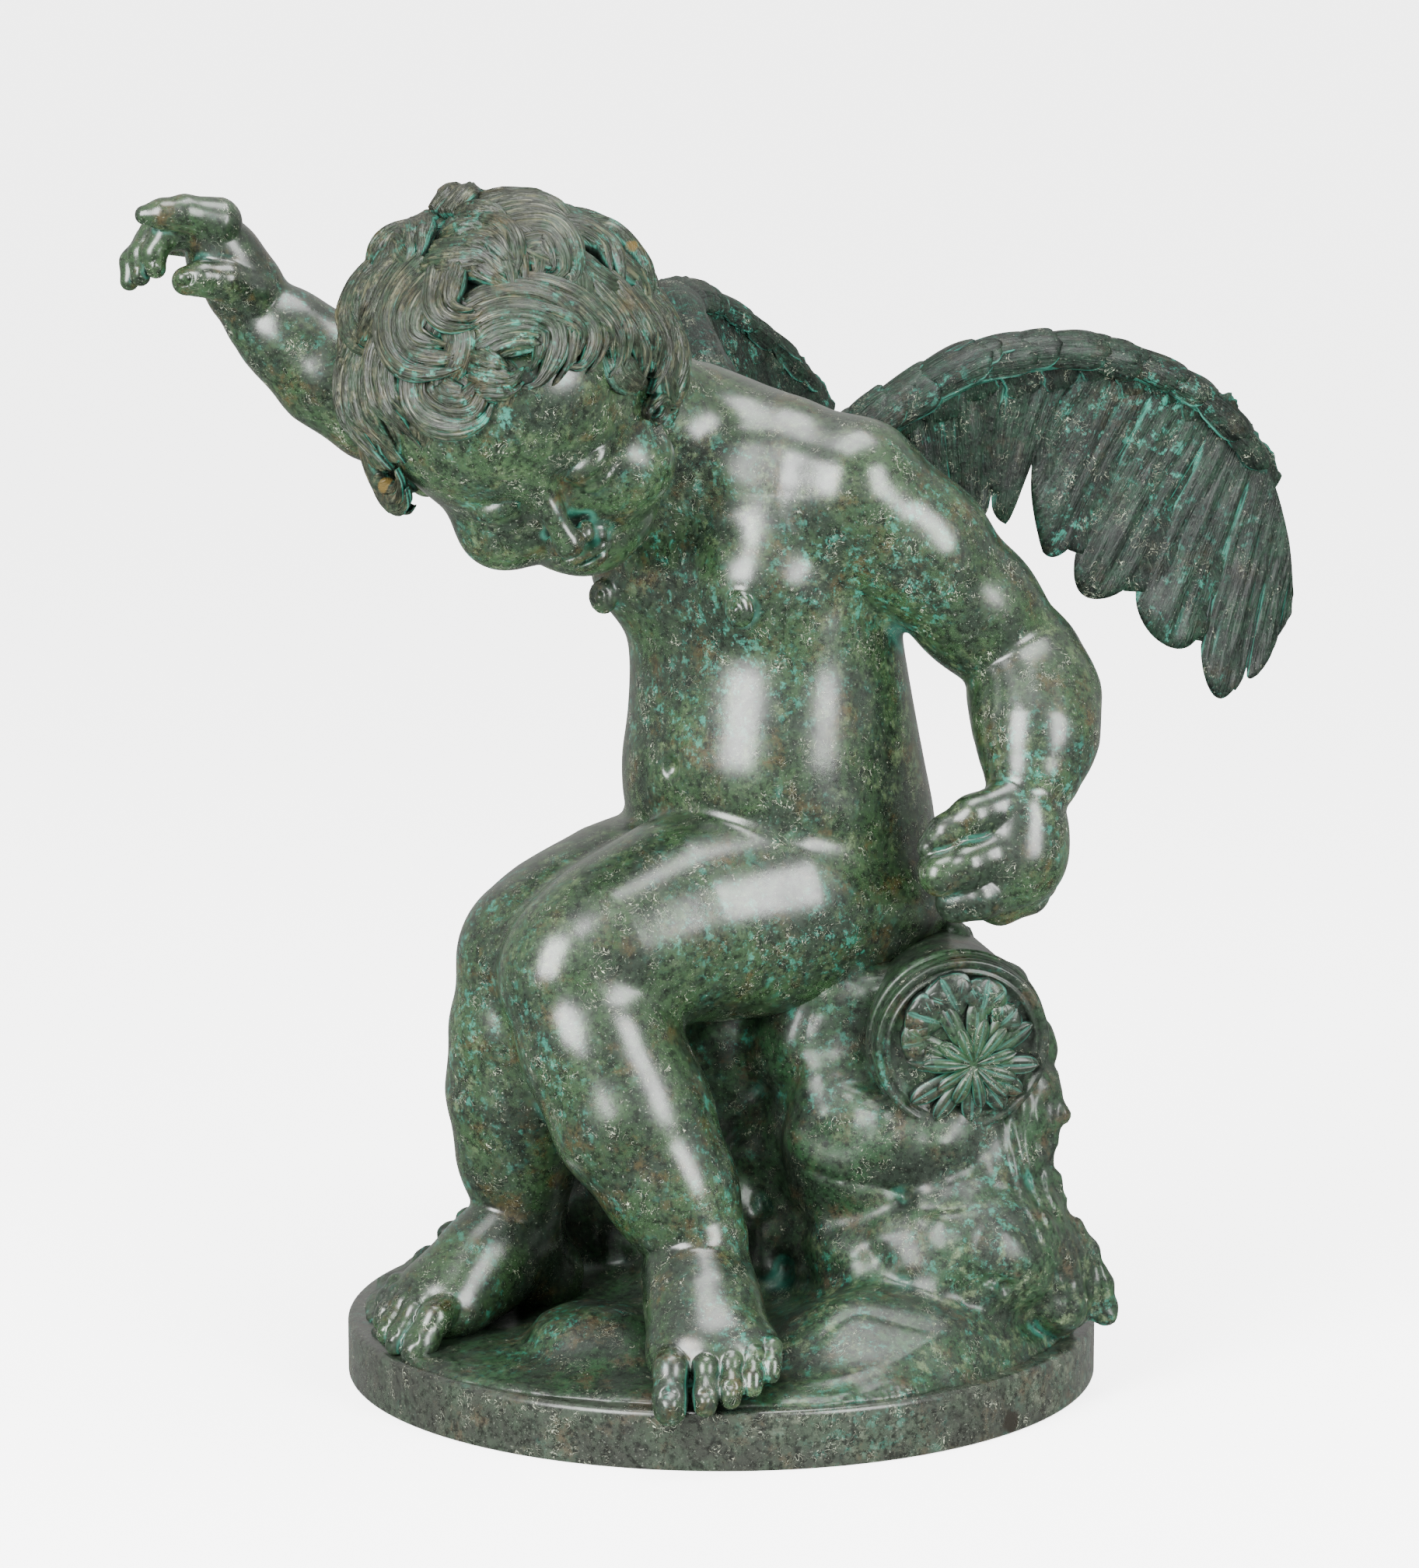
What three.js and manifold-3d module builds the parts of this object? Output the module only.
// A seated winged putto in patinated bronze, cast in one with its rock, quiver and round plinth.
// Millimetres, +Z up, origin at the middle of the underside. The view from -Y is the show side.
import * as THREE from "three";
import { mergeVertices } from "three/addons/utils/BufferGeometryUtils.js";
import Module from "manifold-3d";

// Driving dimensions
const plinthDiameter = 350;
const plinthHeight = 27;
const plinthEdgeRound = 3;
const figureHeight = 525; // from the plinth's top to the highest lock of hair
const groundLip = 3; // step from the plinth's top up to the cast ground
const groundMargin = 5; // bare band of plinth outside the ground
const quiverDiameter = 82;
const quiverLength = 150;
const quiverMouthDepth = 7;
const quiverRimWidth = 7;
const rosettePetals = 12;
const wingSpan = 240; // from a wing's root to its far feathers, in drawn units
const featherThickness = 6;
const wingRollThickness = 20;
const toeCount = 5;
const hairThickness = 11;
const locksAround = 10;

// The pose is drawn in units: the figure is poseUnits high and stands on a plinth of poseFloor units.
const poseUnits = 525;
const poseFloor = 27;
const k = figureHeight / poseUnits;

const wasm = await Module();
wasm.setup();

const vec = (x, y, z) => new THREE.Vector3(x, y, z);
const radians = THREE.MathUtils.degToRad;

// A point of the figure: drawn from the plinth's top centre, at the figure's own scale.
const at = (x, y, z) => vec(x * k, y * k, plinthHeight + (z - poseFloor) * k);

// A closed geometry as a solid that can be joined and cut.
function solid(geometry) {
  const bare = geometry.index ? geometry.toNonIndexed() : geometry.clone();
  for (const name of Object.keys(bare.attributes)) {
    if (name !== "position") bare.deleteAttribute(name);
  }
  const merged = mergeVertices(bare, 1e-3);
  const mesh = new wasm.Mesh({
    numProp: 3,
    vertProperties: merged.attributes.position.array,
    triVerts: new Uint32Array(merged.index.array),
  });
  return new wasm.Manifold(mesh);
}

// Smooth value along a list, t from 0 to 1.
function along(list, t) {
  const place = t * (list.length - 1);
  const i = Math.min(Math.floor(place), list.length - 2);
  const u = place - i;
  const s = u * u * (3 - 2 * u);
  return list[i] + (list[i + 1] - list[i]) * s;
}

// A body of oval sections along a curve, with round ends. widths run across `front`, depths along it.
function sweep(points, widths, depths, front, sides = 12, steps = 8, capRings = 2) {
  const curve = new THREE.CatmullRomCurve3(points, false, "centripetal");
  const rings = [];
  const ring = (t, shift, shrink) => {
    const centre = curve.getPoint(t);
    const tangent = curve.getTangent(t);
    const facing = Array.isArray(front)
      ? vec(0, 0, 0).lerpVectors(front[0], front[1], t)
      : front;
    const side = vec(0, 0, 0).crossVectors(tangent, facing).normalize();
    const ahead = vec(0, 0, 0).crossVectors(side, tangent).normalize();
    const a = along(widths, t) * k;
    const b = along(depths, t) * k;
    centre.addScaledVector(tangent, (shift * (a + b)) / 2);
    const loop = [];
    for (let i = 0; i < sides; i += 1) {
      const angle = (2 * Math.PI * i) / sides;
      loop.push(
        centre
          .clone()
          .addScaledVector(side, a * shrink * Math.cos(angle))
          .addScaledVector(ahead, b * shrink * Math.sin(angle)),
      );
    }
    rings.push({ centre, loop });
  };
  for (let i = capRings; i > 0; i -= 1) {
    const angle = (Math.PI / 2) * (i / (capRings + 1));
    ring(0, -Math.sin(angle), Math.cos(angle));
  }
  for (let i = 0; i <= steps; i += 1) ring(i / steps, 0, 1);
  for (let i = 1; i <= capRings; i += 1) {
    const angle = (Math.PI / 2) * (i / (capRings + 1));
    ring(1, Math.sin(angle), Math.cos(angle));
  }
  return skin(rings.map((r) => r.loop));
}

// Closes a stack of loops of equal length into one geometry, with a fan at either end.
function skin(loops) {
  const sides = loops[0].length;
  const middle = (loop) =>
    loop.reduce((sum, p) => sum.add(p), vec(0, 0, 0)).divideScalar(sides);
  const points = [middle(loops[0]), ...loops.flat(), middle(loops.at(-1))];
  const index = [];
  const last = points.length - 1;
  for (let i = 0; i < sides; i += 1) {
    const j = (i + 1) % sides;
    index.push(0, 1 + j, 1 + i);
    index.push(last, last - sides + i, last - sides + j);
    for (let r = 0; r + 1 < loops.length; r += 1) {
      const low = 1 + r * sides;
      const high = low + sides;
      index.push(low + i, low + j, high + j, low + i, high + j, high + i);
    }
  }
  const geometry = new THREE.BufferGeometry().setFromPoints(points);
  geometry.setIndex(index);
  return geometry;
}

// A solid that is positive whichever way its loops were wound.
function flesh(geometry) {
  const made = solid(geometry);
  if (made.volume() > 0) return made;
  const turned = geometry.clone();
  const order = Array.from(turned.index.array);
  for (let i = 0; i < order.length; i += 3) {
    [order[i + 1], order[i + 2]] = [order[i + 2], order[i + 1]];
  }
  turned.setIndex(order);
  return solid(turned);
}

// An oval ball with its own half sizes and turn.
function ball(centre, half, turn = new THREE.Matrix4(), sides = 16, rows = 10) {
  const geometry = new THREE.SphereGeometry(1, sides, rows);
  geometry.scale(half[0] * k, half[1] * k, half[2] * k);
  geometry.applyMatrix4(turn);
  geometry.translate(centre.x, centre.y, centre.z);
  return solid(geometry);
}

const join = (solids) => solids.reduce((sum, s) => sum.add(s));

// Which way the parts of the body face, as turns from -Y towards -X.
const heading = (degrees) => vec(-Math.sin(radians(degrees)), -Math.cos(radians(degrees)), 0);
const chestFront = heading(37);
const pelvisFront = heading(50);
const leftOf = (front) => vec(-front.y, front.x, 0);

// Joints
const joint = {
  chest: at(5, 12, 372),
  head: at(-91, -54, 467),
  hipL: at(54, -4, 226),
  hipR: at(12, 50, 226),
  kneeL: at(-70, -69, 203),
  kneeR: at(-101, -34, 207),
  ankleL: at(-9, -101, 82),
  ankleR: at(-97, -26, 82),
  shoulderL: at(62, -26, 414),
  elbowL: at(139, -6, 342),
  wristL: at(134, -46, 290),
  shoulderR: at(-41, 46, 414),
  elbowR: at(-133, 60, 446),
  wristR: at(-211, 52, 490),
};

// Torso, from the seat to the root of the neck
function torso() {
  const path = [
    at(36, 28, 204),
    at(30, 22, 240),
    at(18, 12, 280),
    at(13, 12, 326),
    at(7, 12, 366),
    at(3, 12, 402),
    at(-5, 8, 428),
  ];
  const widths = [56, 69, 71, 67, 66, 58, 34];
  const depths = [50, 63, 69, 58, 53, 44, 31];
  const trunk = flesh(sweep(path, widths, depths, [pelvisFront, chestFront], 13, 8, 1));
  const onChest = (ahead, side, up) =>
    joint.chest
      .clone()
      .addScaledVector(chestFront, ahead * k)
      .addScaledVector(leftOf(chestFront), side * k)
      .add(vec(0, 0, up * k));
  const sides = [-1, 1];
  const breast = sides.map((side) => ball(onChest(26, side * 30, 3), [31, 29, 24], undefined, 8, 5));
  const nipple = sides.map((side) => ball(onChest(50, side * 40, -8), [5, 5, 5], undefined, 4, 3));
  const nape = sweep([at(6, 20, 408), at(-24, 2, 438), at(-64, -34, 458)], [44, 33, 36], [34, 31, 36], chestFront, 10, 3, 1);
  const seat = [joint.hipL, joint.hipR].map((hip) => ball(hip.clone().add(vec(18 * k, 6 * k, -4 * k)), [50, 48, 38], undefined, 8, 5));
  return join([trunk, flesh(nape), ...breast, ...nipple, ...seat]);
}

function leg(hip, knee, ankle, out) {
  const thighMid = hip.clone().lerp(knee, 0.45).add(vec(0, 0, 4 * k));
  const thigh = sweep([hip, thighMid, knee], [47, 44, 29], [45, 43, 30], out, 9, 4, 1);
  const calf = knee.clone().lerp(ankle, 0.42).addScaledVector(out, -5 * k);
  const shin = sweep([knee, calf, ankle], [29, 32, 22], [29, 32, 23], out, 9, 4, 1);
  return join([flesh(thigh), flesh(shin)]);
}

// A foot along `ahead`, its inner edge on `inner`, with toes in a slanting row
function foot(ankle, ahead, inner, slope) {
  const sole = ankle.clone().setZ(plinthHeight + 8 * k);
  const spot = (forward, across, up) =>
    sole
      .clone()
      .addScaledVector(ahead, forward * k)
      .addScaledVector(inner, across * k)
      .add(vec(0, 0, (up + slope * forward) * k));
  const up = vec(0, 0, 1);
  const instep = sweep([spot(-20, 0, 21), spot(8, 0, 24), spot(46, 1, 12)], [22, 24, 26], [20, 26, 12], up, 9, 3, 1);
  const toes = Array.from({ length: toeCount }, (_, i) => {
    const thick = i === 0 ? 8.5 : 6.4 - 0.5 * i;
    const reach = 86 - 5 * i - 1.1 * i * i;
    const across = 20 - 10.5 * i;
    const path = [spot(reach - 34, across, 9), spot(reach - 14, across, 9), spot(reach - 5, across, 5)];
    return flesh(sweep(path, [thick, thick * 0.9, thick], [thick, thick * 0.85, thick * 0.9], up, 4, 2, 1));
  });
  return join([flesh(instep), ...toes]);
}

function arm(shoulder, elbow, wrist, bulge) {
  const upper = sweep([shoulder, shoulder.clone().lerp(elbow, 0.5), elbow], [33, 28, 27], [33, 28, 27], bulge, 8, 3, 1);
  const lower = sweep([elbow, elbow.clone().lerp(wrist, 0.4), wrist], [27, 28, 20], [27, 28, 20], bulge, 8, 4, 1);
  return join([flesh(upper), flesh(lower)]);
}

// A finger through hand-placed knuckles
function finger(points, thick) {
  const taper = [thick, thick * 0.95, thick * 0.85];
  return flesh(sweep(points, taper, taper, vec(0.3, 1, 0.2), 4, 3, 1));
}

// The lowered hand, half closed, knuckles down
function loweredHand() {
  const palmPath = [joint.wristL, at(131, -56, 268), at(124, -62, 250)];
  const palm = sweep(palmPath, [21, 26, 25], [18, 21, 19], vec(0, -1, 0), 8, 3, 1);
  const fingers = [0, 1, 2, 3].map((i) =>
    finger(
      [
        at(112 + 8 * i, -76 + 9 * i, 246 - 2 * i),
        at(102 + 9 * i, -80 + 10 * i, 235 - i),
        at(94 + 9 * i, -68 + 10 * i, 240),
        at(102 + 7 * i, -58 + 9 * i, 249),
      ],
      9.6,
    ),
  );
  const thumb = finger([at(116, -62, 274), at(103, -70, 266), at(93, -72, 254)], 9);
  const heart = ball(at(115, -56, 242), [15, 17, 10], undefined, 7, 5);
  return join([flesh(palm), heart, thumb, ...fingers]);
}

// The raised hand, its wrist bent and its fingers hanging
function raisedHand() {
  const palmPath = [joint.wristR, at(-226, 50, 506), at(-243, 46, 522)];
  const palm = sweep(palmPath, [21, 24, 22], [19, 20, 13], vec(0.4, -1, 0.4), 8, 3, 1);
  const pointing = finger([at(-243, 34, 533), at(-258, 34, 539), at(-271, 36, 534)], 7);
  const hanging = [0, 1, 2].map((i) =>
    finger(
      [
        at(-250, 42 + 9 * i, 531 - 2 * i),
        at(-268 - i, 42 + 9 * i, 526 - 2 * i),
        at(-272 - i, 40 + 8 * i, 512),
        at(-274 + 3 * i, 38 + 8 * i, 503 + i),
      ],
      7.5,
    ),
  );
  const thumb = finger([at(-222, 34, 506), at(-238, 30, 508), at(-254, 30, 508)], 7.5);
  return join([flesh(palm), pointing, thumb, ...hanging]);
}

// Head, in its own frame: +X its left, -Y the face, +Z the crown
const faceDirection = vec(0.146, -0.778, -0.61).normalize();
const crownDirection = vec(-0.45, -0.599, 0.658).projectOnPlane(faceDirection).normalize();
const headTurn = new THREE.Matrix4().makeBasis(
  crownDirection.clone().cross(faceDirection),
  faceDirection.clone().negate(),
  crownDirection,
);
const onHead = (x, y, z) => vec(x * k, y * k, z * k).applyMatrix4(headTurn).add(joint.head);
const skullHalf = [66, 74, 70];

function head() {
  const sides = [-1, 1];
  const skull = ball(onHead(0, 4, 4), skullHalf, headTurn, 10, 7);
  const face = ball(onHead(0, -34, -26), [50, 36, 46], headTurn, 12, 7);
  const cheeks = sides.map((s) => ball(onHead(27 * s, -44, -36), [25, 22, 23], headTurn, 7, 5));
  const eyes = sides.map((s) => ball(onHead(22 * s, -63, -6), [12, 7, 6], headTurn, 6, 4));
  const chin = ball(onHead(0, -54, -62), [16, 13, 11], headTurn, 6, 5);
  const brow = ball(onHead(0, -44, 12), [46, 28, 28], headTurn, 10, 6);
  const bridge = [onHead(0, -68, -4), onHead(0, -74, -17), onHead(0, -77, -25)];
  const nose = flesh(sweep(bridge, [5, 7, 8], [5, 6, 7], vec(1, 0, 0), 5, 2, 1));
  const lips = ball(onHead(0, -68, -43), [12, 8, 6], headTurn, 6, 4);
  return join([skull, face, brow, chin, nose, lips, ...cheeks, ...eyes]);
}

// Hair is told in angles round its whorl, which sits behind the crown.
const whorlBack = 30;
const hairRows = 9;
const samplesPerLock = 4;
const lockTip = 9; // how far each lock's end reaches past the gaps between the locks, in degrees

// Which lock an azimuth is on, and how near its middle: each lock swings on its way down.
function lockPlace(polar, azimuth) {
  const place = (azimuth / 360) * locksAround + 0.42 * Math.sin(radians(polar * 3.4));
  return { ridge: Math.abs(Math.cos(Math.PI * place)), number: Math.round(place) };
}

// How far down from the whorl the hair reaches: a high brow, full sides and a low nape
function hairline(azimuth) {
  const off = THREE.MathUtils.smoothstep(Math.abs(azimuth), 40, 96);
  const base = THREE.MathUtils.lerp(78, 146, off);
  return base + lockTip * (lockPlace(base, azimuth).ridge - 0.5);
}

// A point over the scalp: polar angle from the whorl, azimuth from the brow, height over the skull
function onScalp(polar, azimuth, lift) {
  const p = radians(polar);
  const a = radians(azimuth);
  const local = vec(Math.sin(p) * Math.sin(a), -Math.sin(p) * Math.cos(a), Math.cos(p));
  local.applyAxisAngle(vec(1, 0, 0), -radians(whorlBack));
  const reach = skullHalf.map((half) => half + lift);
  return onHead(local.x * reach[0], 4 + local.y * reach[1], 4 + local.z * reach[2]);
}

// A lock swells and sinks between its ends.
function lockLift(polar, azimuth) {
  const { ridge, number } = lockPlace(polar, azimuth);
  const swell = 0.5 + 0.5 * Math.sin(radians(polar * 7 + number * 130));
  return hairThickness * (0.5 + 0.5 * ridge + 0.35 * swell * ridge);
}

function hair() {
  const around = locksAround * samplesPerLock;
  const azimuths = Array.from({ length: around }, (_, i) => (360 * (i + 0.5)) / around - 180);
  const loops = [];
  for (let row = 0; row <= hairRows; row += 1) {
    const share = (row + 0.6) / (hairRows + 0.6);
    const edge = row === hairRows ? 0.45 : 1;
    loops.push(
      azimuths.map((a) => {
        const polar = share * hairline(a);
        return onScalp(polar, a, lockLift(polar, a) * edge);
      }),
    );
  }
  loops.push(azimuths.map((a) => onScalp(0.96 * hairline(a), a, -14)));
  return flesh(skin(loops));
}

// Wing outline, in its own plane: how far out from its root, and how high over it
const wingTop = [
  [-34, -14], [16, 26], [44, 45], [78, 60], [127, 66], [174, 54], [208, 30], [228, 2], [238, -30], [242, -64],
];
const wingTips = [
  [-8, -36], [34, 2], [56, -8], [78, -17], [94, -18],
  [113, -34], [132, -53], [170, -76], [201, -105], [226, -93], [242, -68],
];
const innerFeathers = 4;
const notch = [103, 6];
const stationsPerFeather = 3;

// place(out, up, ahead) puts a spot of the wing in space; `ahead` is towards its hollow inner face.
function wing(place) {
  const flat = (list) => new THREE.CatmullRomCurve3(list.map(([x, y]) => vec(x, y, 0)), false, "centripetal");
  const top = flat(wingTop);
  const tips = flat(wingTips);
  const feathers = wingTips.length - 1;
  const stations = feathers * stationsPerFeather;
  const loops = [];
  for (let i = 0; i <= stations; i += 1) {
    const share = i / stations;
    const spotAlong = share * feathers;
    const phase = (spotAlong + 0.5) % 1;
    const inner = spotAlong < innerFeathers + 0.5;
    const from = top.getPoint(0.04 + 0.96 * share);
    const to = tips.getPoint(share);
    const gap = Math.abs(spotAlong - innerFeathers - 0.5);
    if (gap < 0.3) to.lerp(vec(notch[0], notch[1], 0), 1 - gap / 0.3);
    const round = Math.sin(Math.PI * phase) ** 0.6;
    to.lerp(from, (inner ? 0.2 : 0.32) * (1 - round));
    const ridge = 0.55 + 0.45 * Math.sin(Math.PI * phase);
    const curl = 0.5 - 0.5 * Math.cos(2 * Math.PI * ((spotAlong * 1.5) % 1));
    const roll = (wingRollThickness / 2) * (0.85 + 0.3 * curl) * (1 - 0.55 * share);
    const half = featherThickness / 2;
    const covertEnd = 0.4 + 0.08 * curl;
    const section = [
      [1, half * 0.5 * ridge],
      [covertEnd + 0.03, half * (0.6 + 0.5 * ridge)],
      [covertEnd - 0.03, half * 1.6 + 1],
      [0.04, roll],
      [-0.05, 0],
      [0.04, -roll],
      [covertEnd, -half * (1.4 + 0.6 * ridge)],
      [1, -half * 0.5 * ridge],
    ];
    const bowl = (t) => 14 * share * share - 10 * Math.sin(Math.PI * t) * share;
    loops.push(
      section.map(([t, ahead]) => {
        const spot = from.clone().lerp(to, t);
        return place(spot.x, spot.y, ahead + bowl(t));
      }),
    );
  }
  return flesh(skin(loops));
}

// Puts a wing at its root. spread turns it from +X towards +Y, inward is 1 or -1 for the side that
// its hollow faces, bow is how far its middle stands off a straight line, lean tips its top over.
function wingPlace(root, spread, inward, bow, lean) {
  const out = vec(Math.cos(radians(spread)), Math.sin(radians(spread)), 0);
  const ahead = vec(out.y, -out.x, 0).multiplyScalar(inward);
  const rise = vec(0, 0, 1).addScaledVector(ahead, Math.tan(radians(lean))).normalize();
  return (x, up, y) =>
    root
      .clone()
      .addScaledVector(out, x * k)
      .addScaledVector(ahead, (y + bow * Math.sin((Math.PI * Math.max(0, x)) / wingSpan)) * k)
      .addScaledVector(rise, up * k);
}

// Plinth and ground
const plinthFacets = 40;
function plinth() {
  const r = plinthDiameter / 2;
  const e = plinthEdgeRound;
  const profile = [
    new THREE.Vector2(0, 0),
    new THREE.Vector2(r, 0),
    new THREE.Vector2(r, plinthHeight - e),
    new THREE.Vector2(r - e, plinthHeight),
    new THREE.Vector2(0, plinthHeight),
  ];
  return flesh(new THREE.LatheGeometry(profile, plinthFacets).rotateX(Math.PI / 2));
}

// Height of the cast ground over the plinth's top at a place on it
function groundHeight(x, y) {
  const lump = (cx, cy, spread, height) =>
    height * Math.exp(-((x - cx * k) ** 2 + (y - cy * k) ** 2) / (2 * (spread * k) ** 2));
  const rise =
    lump(40, 40, 72, 24) +
    lump(-55, -90, 22, 15) +
    lump(45, -105, 26, 17) +
    lump(95, -92, 30, 18) +
    lump(-100, 70, 40, 10);
  return groundLip + rise * k;
}

function ground() {
  const outer = plinthDiameter / 2 - groundMargin;
  const sectors = 20;
  const rows = 4;
  const loop = (share, sunk) =>
    Array.from({ length: sectors }, (_, i) => {
      const angle = (2 * Math.PI * i) / sectors;
      const x = outer * share * Math.cos(angle);
      const y = outer * share * Math.sin(angle);
      return vec(x, y, plinthHeight + (sunk ? -2 : groundHeight(x, y)));
    });
  const loops = [loop(0.97, true), loop(1, true)];
  for (let i = 0; i < rows; i += 1) loops.push(loop(1 - (i + 0.1) / rows, false));
  return flesh(skin(loops));
}

// The rock under the seat, a craggy column that leans with the sitter
const rockFoot = 24;
const rockTop = 200;
const rockReach = 104;
const rockSectors = 16;
const rockRows = 7;
function rock() {
  const loops = [];
  for (let row = 0; row <= rockRows; row += 1) {
    const t = row / rockRows;
    const z = rockFoot + (rockTop - rockFoot) * t;
    const flare = 1 - 0.42 * t ** 1.2;
    const centre = at(44 + 10 * t, 28 + 4 * t, z);
    loops.push(
      Array.from({ length: rockSectors }, (_, i) => {
        const a = (2 * Math.PI * i) / rockSectors;
        const craggy = 1 + 0.08 * Math.sin(3 * a + 1 + z / 25) + 0.05 * Math.sin(5 * a - z / 18) + 0.05 * Math.sin(8 * a + z / 11);
        const reach = (rockReach - 18 * Math.max(0, -Math.sin(a))) * flare * craggy * k;
        return centre.clone().add(vec(reach * Math.cos(a), reach * Math.sin(a), 0));
      }),
    );
  }
  const lumps = [
    ball(at(92, -36, 66), [58, 54, 44], undefined, 8, 5),
    ball(at(100, 18, 184), [22, 24, 27], undefined, 6, 4),
    ball(at(84, -20, 128), [42, 52, 48], undefined, 7, 5),
    ball(at(-34, 40, 82), [54, 40, 62], undefined, 6, 4),
    ball(at(6, 6, 156), [38, 36, 44], undefined, 6, 4),
  ];
  return join([flesh(skin(loops)), ...lumps]);
}

// The quiver lies on the rock, its end with a rosette to the front
const quiverAxis = vec(0.16, -0.97, -0.06).normalize();
const quiverEnd = at(109, -72, 168);

function quiver() {
  const r = quiverDiameter / 2;
  const inner = r - quiverRimWidth;
  const side = vec(0, 0, 1).cross(quiverAxis).normalize();
  const rise = quiverAxis.clone().cross(side).normalize();
  const samples = rosettePetals * 2;
  const ring = (radius, along, petalReach = 0, petalRise = 0) =>
    Array.from({ length: samples }, (_, i) => {
      const angle = (2 * Math.PI * i) / samples;
      const petal = i % 2;
      const reach = radius + petalReach * petal;
      return quiverEnd
        .clone()
        .addScaledVector(side, reach * Math.cos(angle))
        .addScaledVector(rise, reach * Math.sin(angle))
        .addScaledVector(quiverAxis, along + petalRise * petal);
    });
  const floor = -quiverMouthDepth;
  const shell = [
    ring(r * 0.8, -quiverLength),
    ring(r * 0.96, -r * 0.6),
    ring(r * 1.05, -r * 0.45),
    ring(r * 1.05, -r * 0.15),
    ring(r * 0.97, 0),
    ring(inner, 0),
    ring(inner - 1, floor),
  ];
  const rosette = [
    ring(inner * 0.8, floor, inner * 0.16, 0),
    ring(inner * 0.78, floor + 1.5, inner * 0.14, 2),
    ring(inner * 0.42, floor + 1.5, 0, 5),
    ring(inner * 0.06, floor + 3, 0, 1),
  ];
  return flesh(skin([...shell, ...rosette]));
}

// The cloth that hangs from the quiver down the rock's right side to the plinth's rim
function cloth() {
  const fold = (points, widths, depths) => flesh(sweep(points, widths, depths, vec(0.6, -0.8, 0), 6, 4, 1));
  const hanging = [at(138, -60, 140), at(144, -62, 116), at(150, -58, 92), at(160, -52, 68), at(163, -50, 44)];
  const behind = [at(108, 0, 192), at(134, -14, 182), at(150, -30, 156), at(150, -48, 132)];
  return join([
    fold(hanging, [16, 14, 17, 21, 16], [12, 10, 13, 15, 12]),
    fold(behind, [14, 14, 13, 11], [10, 9, 8, 8]),
  ]);
}

// Rough lumps: a sprig behind the far foot and stones round the near one
function stones() {
  const list = [
    [at(-116, 8, 54), [20, 17, 16]],
    [at(-134, -6, 42), [15, 13, 14]],
    [at(-52, -96, 33), [24, 28, 18]],
  ];
  return join(list.map(([centre, half]) => ball(centre, half, undefined, 6, 4)));
}

const kneeOut = heading(60);
const sculpture = join([
  plinth(),
  ground(),
  rock(),
  stones(),
  quiver(),
  cloth(),
  torso(),
  leg(joint.hipL, joint.kneeL, joint.ankleL, kneeOut),
  leg(joint.hipR, joint.kneeR, joint.ankleR, kneeOut),
  foot(joint.ankleL, vec(-0.1, -0.995, 0), vec(-0.995, 0.1, 0), -0.1),
  foot(joint.ankleR, vec(-0.6, -0.8, 0), vec(0.8, -0.6, 0), -0.1),
  arm(joint.shoulderL, joint.elbowL, joint.wristL, vec(0, -1, 0.2)),
  arm(joint.shoulderR, joint.elbowR, joint.wristR, vec(0, -1, 0.2)),
  loweredHand(),
  raisedHand(),
  head(),
  hair(),
  wing(wingPlace(at(44, 30, 408), 18, 1, 10, 0)),
  wing(wingPlace(at(12, 62, 434), 78, -1, 40, 11)),
]);

const shown = sculpture.getMesh();
const geometry = new THREE.BufferGeometry();
geometry.setAttribute("position", new THREE.BufferAttribute(shown.vertProperties, 3));
geometry.setIndex(new THREE.BufferAttribute(shown.triVerts, 1));
geometry.computeVertexNormals();

const bronze = new THREE.MeshStandardMaterial({ color: 0x2f4a36, roughness: 0.35, metalness: 0.6 });
const putto = new THREE.Mesh(geometry, bronze);
putto.name = "putto_sculpture";

const part = new THREE.Group();
part.add(putto);
export default part;
